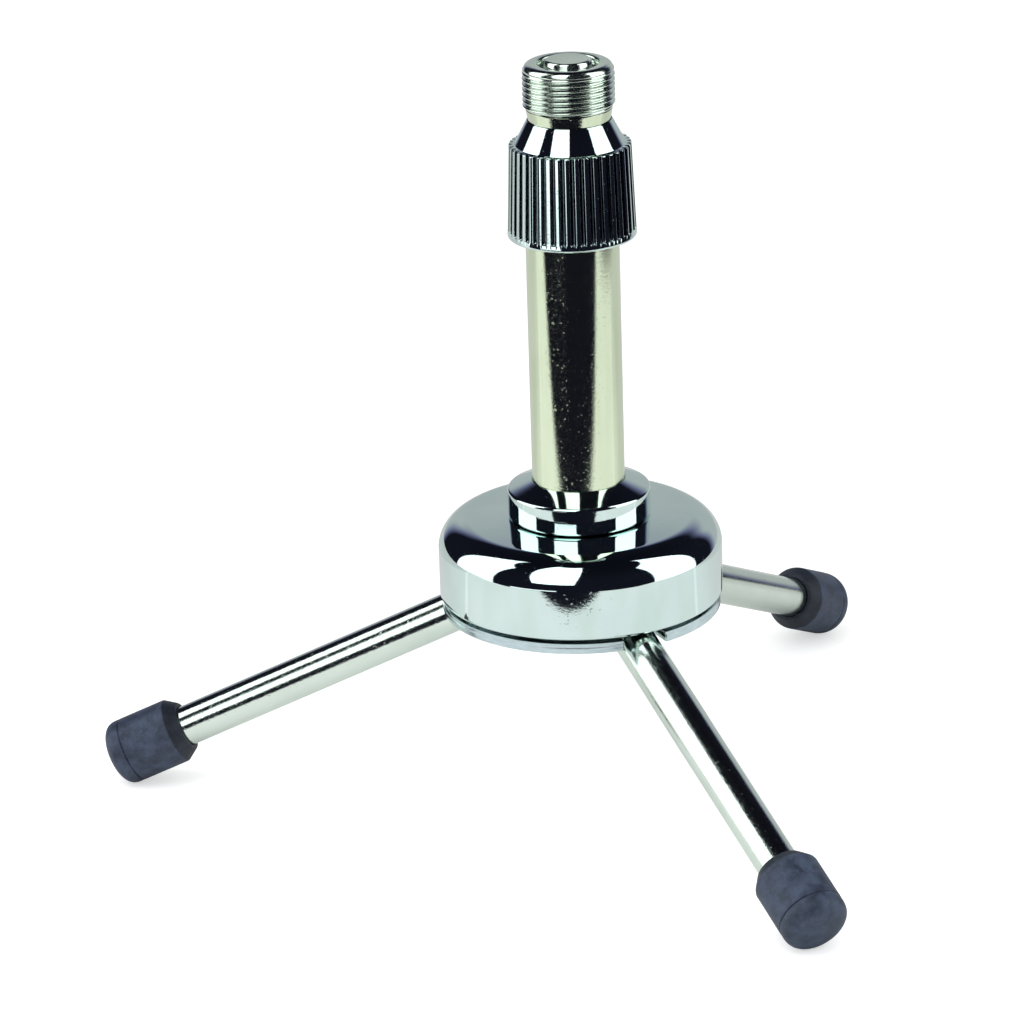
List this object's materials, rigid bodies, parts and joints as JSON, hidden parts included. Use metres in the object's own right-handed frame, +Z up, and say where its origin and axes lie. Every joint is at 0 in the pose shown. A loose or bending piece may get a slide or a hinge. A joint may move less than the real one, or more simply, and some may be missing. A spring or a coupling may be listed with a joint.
{
  "type": "desktop mic stand",
  "caption": "Small folding desktop microphone stand: round chromed base with fold-down legs, a telescopic column, a fluted clutch nut and a threaded top.",
  "frame": {"origin": "on the desk, in the middle between the feet, under the column's axis", "axes": "+Z up along the column; one leg points along -X, and the other two are 60 degrees either side of +X"},
  "size_m": [0.1327, 0.1516, 0.1332],
  "materials": {
    "chrome": "bright chrome plate",
    "nickel": "bright nickel plate with a faint warm tone",
    "steel": "zinc-plated steel",
    "zinc": "as cast, satin grey",
    "brass": "turned",
    "rubber": "matt moulded rubber",
    "nylon": "natural nylon"
  },
  "bodies": {
    "base": {"base_cover": "chrome", "base_collar": "chrome", "hinge_hub": "zinc", "bottom_plate": "steel", "base_screw": "steel", "base_washer": "steel", "leg_pin_1": "steel", "leg_pin_2": "steel", "leg_pin_3": "steel", "outer_tube": "nickel", "tube_plug": "steel", "clutch_bush": "brass", "clutch_collet": "nylon"},
    "clutch": {"clutch_nut": "chrome"},
    "rod": {"inner_tube": "nickel", "rod_end_cap": "nylon", "thread_spigot": "nickel", "spigot_plug": "nickel"},
    "leg_1": {"leg_tongue_1": "steel", "leg_tube_1": "nickel", "foot_cap_1": "rubber"},
    "leg_2": {"leg_tongue_2": "steel", "leg_tube_2": "nickel", "foot_cap_2": "rubber"},
    "leg_3": {"leg_tongue_3": "steel", "leg_tube_3": "nickel", "foot_cap_3": "rubber"}
  },
  "joints": [
    {"name": "rod_slide", "type": "slide", "parent": "base", "child": "rod", "axis": [0, 0, 1], "range_m": [0, 0.04]},
    {"name": "clutch_turn", "type": "hinge", "parent": "base", "child": "clutch", "pos_m": [0, 0, 0.11], "axis": [0, 0, 1], "range_deg": [0, 180]},
    {"name": "leg_fold_1", "type": "hinge", "parent": "base", "child": "leg_1", "pos_m": [0.00625, 0.01082, 0.03694], "axis": [-0.866, 0.5, 0], "range_deg": [0, 65.8]},
    {"name": "leg_fold_2", "type": "hinge", "parent": "base", "child": "leg_2", "pos_m": [-0.0125, 0, 0.03694], "axis": [0, -1, 0], "range_deg": [0, 65.8]},
    {"name": "leg_fold_3", "type": "hinge", "parent": "base", "child": "leg_3", "pos_m": [0.00625, -0.01082, 0.03694], "axis": [0.866, 0.5, 0], "range_deg": [0, 65.8]}
  ]
}
